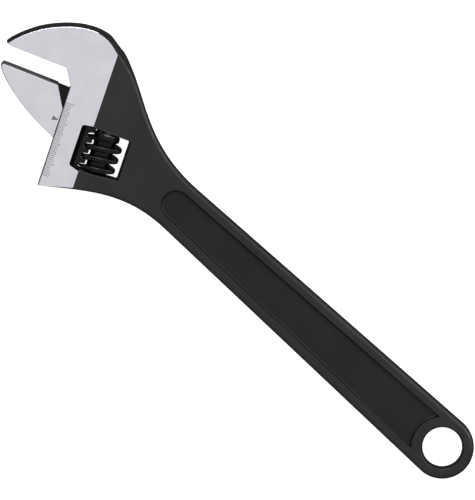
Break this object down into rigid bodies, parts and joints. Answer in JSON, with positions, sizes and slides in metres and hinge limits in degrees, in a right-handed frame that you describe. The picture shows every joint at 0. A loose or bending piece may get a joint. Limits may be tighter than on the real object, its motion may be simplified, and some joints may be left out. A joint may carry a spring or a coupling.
{
  "type": "adjustable wrench",
  "caption": "Adjustable wrench with a forged body, a sliding jaw on a toothed rail, and a knurled worm on a screwed-in pin that moves the jaw.",
  "frame": {"origin": "centre of the hanging hole in the tail, on the mid-plane of the handle", "axes": "+X along the handle from the hanging hole to the head, +Z square to the flat faces and out of the one with the scale, +Y to the side the sliding jaw opens to"},
  "size_m": [0.2988, 0.0757, 0.0178],
  "materials": {
    "blackened_steel": "satin black phosphate, ground bright on the flat faces of the head",
    "ground_steel": "fine ground, black in the recessed parts",
    "worm_steel": "oiled black, knurled crests",
    "pin_steel": "dark, lightly oiled",
    "spring_steel": "drawn wire"
  },
  "bodies": {
    "frame": {"body": "blackened_steel", "worm_pin": "pin_steel", "worm_spring": "spring_steel"},
    "jaw": {"movable_jaw": "ground_steel"},
    "worm": {"worm": "worm_steel"}
  },
  "joints": [
    {"name": "jaw_slide", "type": "slide", "parent": "frame", "child": "jaw", "axis": [-0.4035, 0.915, 0], "range_m": [-0.0091, 0.0269]},
    {"name": "worm_spin", "type": "hinge", "parent": "frame", "child": "worm", "pos_m": [0.21446, 0.00556, 0], "axis": [0.4035, -0.915, 0], "range_deg": [-650, 1912]}
  ],
  "couplings": [
    {"joint": "worm_spin", "follows": "jaw_slide", "rad_per_m": 1236.8}
  ]
}
